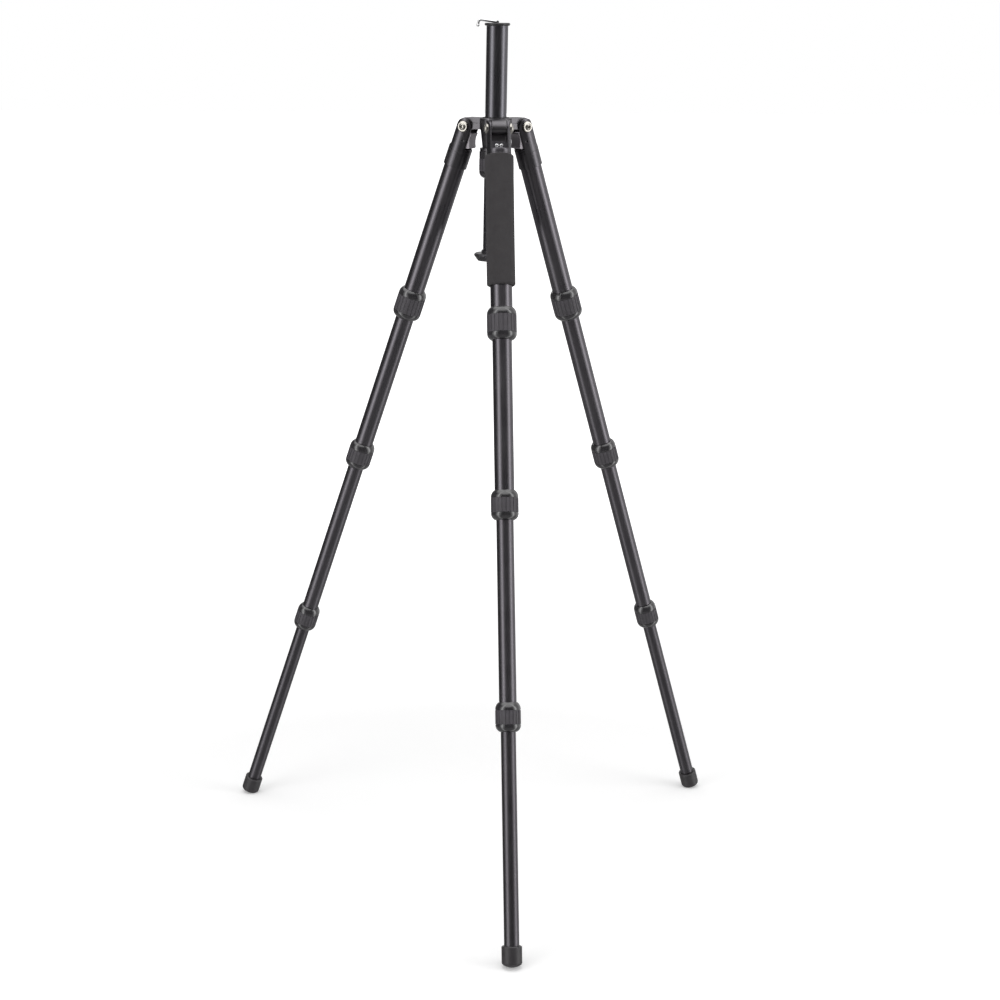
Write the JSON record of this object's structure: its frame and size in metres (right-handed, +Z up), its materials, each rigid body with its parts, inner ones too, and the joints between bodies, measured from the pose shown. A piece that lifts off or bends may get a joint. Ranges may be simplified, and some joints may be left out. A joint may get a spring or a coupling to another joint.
{
  "type": "photo tripod",
  "caption": "Compact travel tripod with twist-lock telescopic legs, a foam grip and an inverted centre column that carries a hook on top and a head plate below.",
  "frame": {"origin": "on the floor, at the middle of the box round the whole tripod; the column's axis stands behind it, on +Y, because one leg points forwards and two back", "axes": "+Z up along the centre column, the leg with the foam grip points to -Y, +X is to the viewer's right when that leg faces the viewer"},
  "size_m": [0.6618, 0.5764, 1.0923],
  "materials": {
    "casting": "satin black coated casting",
    "black_metal": "satin black coated",
    "tube": "satin black anodised",
    "collar": "matte ribbed grip",
    "cap": "moulded black",
    "nylon": "black nylon",
    "lever": "satin grey coated",
    "chrome": "polished",
    "steel": "bright",
    "rubber": "matte",
    "foam": "closed-cell foam, fine matte pores"
  },
  "bodies": {
    "spider": {"spider": "casting", "column_bush": "nylon", "column_collet": "nylon", "front_hinge_screws": "chrome", "left_hinge_screws": "chrome", "right_hinge_screws": "chrome"},
    "column": {"column_tube": "tube", "column_cap": "cap", "hook_pin": "steel", "mount_plate": "black_metal", "plate_pad": "rubber", "mount_stud": "steel"},
    "column_lock": {"column_lock": "collar"},
    "hook": {"hook": "chrome"},
    "front_leg": {"front_head": "black_metal", "front_lever_pin": "steel", "front_lever_spring": "steel", "front_tube_1": "tube", "front_collet_1": "nylon", "front_grip": "foam"},
    "front_lever": {"front_lever": "lever"},
    "front_collar_1": {"front_collar_1": "collar"},
    "front_section_2": {"front_tube_2": "tube", "front_collet_2": "nylon"},
    "front_collar_2": {"front_collar_2": "collar"},
    "front_section_3": {"front_tube_3": "tube", "front_collet_3": "nylon"},
    "front_collar_3": {"front_collar_3": "collar"},
    "front_section_4": {"front_tube_4": "tube", "front_foot": "rubber"},
    "left_leg": {"left_head": "black_metal", "left_lever_pin": "steel", "left_lever_spring": "steel", "left_tube_1": "tube", "left_collet_1": "nylon"},
    "left_lever": {"left_lever": "lever"},
    "left_collar_1": {"left_collar_1": "collar"},
    "left_section_2": {"left_tube_2": "tube", "left_collet_2": "nylon"},
    "left_collar_2": {"left_collar_2": "collar"},
    "left_section_3": {"left_tube_3": "tube", "left_collet_3": "nylon"},
    "left_collar_3": {"left_collar_3": "collar"},
    "left_section_4": {"left_tube_4": "tube", "left_foot": "rubber"},
    "right_leg": {"right_head": "black_metal", "right_lever_pin": "steel", "right_lever_spring": "steel", "right_tube_1": "tube", "right_collet_1": "nylon"},
    "right_lever": {"right_lever": "lever"},
    "right_collar_1": {"right_collar_1": "collar"},
    "right_section_2": {"right_tube_2": "tube", "right_collet_2": "nylon"},
    "right_collar_2": {"right_collar_2": "collar"},
    "right_section_3": {"right_tube_3": "tube", "right_collet_3": "nylon"},
    "right_collar_3": {"right_collar_3": "collar"},
    "right_section_4": {"right_tube_4": "tube", "right_foot": "rubber"}
  },
  "joints": [
    {"name": "column_slide", "type": "slide", "parent": "spider", "child": "column", "axis": [0, 0, 1], "range_m": [-0.111, 0.0905]},
    {"name": "column_lock_turn", "type": "hinge", "parent": "spider", "child": "column_lock", "pos_m": [0, 0.09193, 0.91246], "axis": [0, 0, 1], "range_deg": [0, 90]},
    {"name": "hook_fold", "type": "hinge", "parent": "column", "child": "hook", "pos_m": [0, 0.09193, 1.08826], "axis": [0, 1, 0], "range_deg": [0, 95]},
    {"name": "front_swing", "type": "hinge", "parent": "spider", "child": "front_leg", "pos_m": [0, 0.05343, 0.95926], "axis": [-1, 0, 0], "range_deg": [-15.6, 157]},
    {"name": "front_lever_press", "type": "hinge", "parent": "front_leg", "child": "front_lever", "pos_m": [0, 0.05337, 0.94107], "axis": [-1, 0, 0], "range_deg": [0, 10], "stiffness_Nm_per_rad": 0.15, "springref_deg": -20.05, "deforming": ["front_lever_spring"]},
    {"name": "front_collar_1_turn", "type": "hinge", "parent": "front_leg", "child": "front_collar_1", "pos_m": [0, -0.02687, 0.72737], "axis": [0, -0.3272, -0.9449], "range_deg": [0, 90]},
    {"name": "front_slide_2", "type": "slide", "parent": "front_leg", "child": "front_section_2", "axis": [0, 0.3272, 0.9449], "range_m": [0, 0.1819]},
    {"name": "front_collar_2_turn", "type": "hinge", "parent": "front_section_2", "child": "front_collar_2", "pos_m": [0, -0.09968, 0.51712], "axis": [0, -0.3272, -0.9449], "range_deg": [0, 90]},
    {"name": "front_slide_3", "type": "slide", "parent": "front_section_2", "child": "front_section_3", "axis": [0, 0.3272, 0.9449], "range_m": [0, 0.2175]},
    {"name": "front_collar_3_turn", "type": "hinge", "parent": "front_section_3", "child": "front_collar_3", "pos_m": [0, -0.18279, 0.2771], "axis": [0, -0.3272, -0.9449], "range_deg": [0, 90]},
    {"name": "front_slide_4", "type": "slide", "parent": "front_section_3", "child": "front_section_4", "axis": [0, 0.3272, 0.9449], "range_m": [0, 0.249]},
    {"name": "left_swing", "type": "hinge", "parent": "spider", "child": "left_leg", "pos_m": [-0.03334, 0.11117, 0.95926], "axis": [0.5, 0.866, 0], "range_deg": [-15.6, 157]},
    {"name": "left_lever_press", "type": "hinge", "parent": "left_leg", "child": "left_lever", "pos_m": [-0.03339, 0.1112, 0.94107], "axis": [0.5, 0.866, 0], "range_deg": [0, 10], "stiffness_Nm_per_rad": 0.15, "springref_deg": -20.05, "deforming": ["left_lever_spring"]},
    {"name": "left_collar_1_turn", "type": "hinge", "parent": "left_leg", "child": "left_collar_1", "pos_m": [-0.10288, 0.15132, 0.72737], "axis": [-0.2834, 0.1636, -0.9449], "range_deg": [0, 90]},
    {"name": "left_slide_2", "type": "slide", "parent": "left_leg", "child": "left_section_2", "axis": [0.2834, -0.1636, 0.9449], "range_m": [0, 0.1819]},
    {"name": "left_collar_2_turn", "type": "hinge", "parent": "left_section_2", "child": "left_collar_2", "pos_m": [-0.16593, 0.18773, 0.51712], "axis": [-0.2834, 0.1636, -0.9449], "range_deg": [0, 90]},
    {"name": "left_slide_3", "type": "slide", "parent": "left_section_2", "child": "left_section_3", "axis": [0.2834, -0.1636, 0.9449], "range_m": [0, 0.2175]},
    {"name": "left_collar_3_turn", "type": "hinge", "parent": "left_section_3", "child": "left_collar_3", "pos_m": [-0.23791, 0.22928, 0.2771], "axis": [-0.2834, 0.1636, -0.9449], "range_deg": [0, 90]},
    {"name": "left_slide_4", "type": "slide", "parent": "left_section_3", "child": "left_section_4", "axis": [0.2834, -0.1636, 0.9449], "range_m": [0, 0.249]},
    {"name": "right_swing", "type": "hinge", "parent": "spider", "child": "right_leg", "pos_m": [0.03334, 0.11117, 0.95926], "axis": [0.5, -0.866, 0], "range_deg": [-15.6, 157]},
    {"name": "right_lever_press", "type": "hinge", "parent": "right_leg", "child": "right_lever", "pos_m": [0.03339, 0.1112, 0.94107], "axis": [0.5, -0.866, 0], "range_deg": [0, 10], "stiffness_Nm_per_rad": 0.15, "springref_deg": -20.05, "deforming": ["right_lever_spring"]},
    {"name": "right_collar_1_turn", "type": "hinge", "parent": "right_leg", "child": "right_collar_1", "pos_m": [0.10288, 0.15132, 0.72737], "axis": [0.2834, 0.1636, -0.9449], "range_deg": [0, 90]},
    {"name": "right_slide_2", "type": "slide", "parent": "right_leg", "child": "right_section_2", "axis": [-0.2834, -0.1636, 0.9449], "range_m": [0, 0.1819]},
    {"name": "right_collar_2_turn", "type": "hinge", "parent": "right_section_2", "child": "right_collar_2", "pos_m": [0.16593, 0.18773, 0.51712], "axis": [0.2834, 0.1636, -0.9449], "range_deg": [0, 90]},
    {"name": "right_slide_3", "type": "slide", "parent": "right_section_2", "child": "right_section_3", "axis": [-0.2834, -0.1636, 0.9449], "range_m": [0, 0.2175]},
    {"name": "right_collar_3_turn", "type": "hinge", "parent": "right_section_3", "child": "right_collar_3", "pos_m": [0.23791, 0.22928, 0.2771], "axis": [0.2834, 0.1636, -0.9449], "range_deg": [0, 90]},
    {"name": "right_slide_4", "type": "slide", "parent": "right_section_3", "child": "right_section_4", "axis": [-0.2834, -0.1636, 0.9449], "range_m": [0, 0.249]}
  ]
}
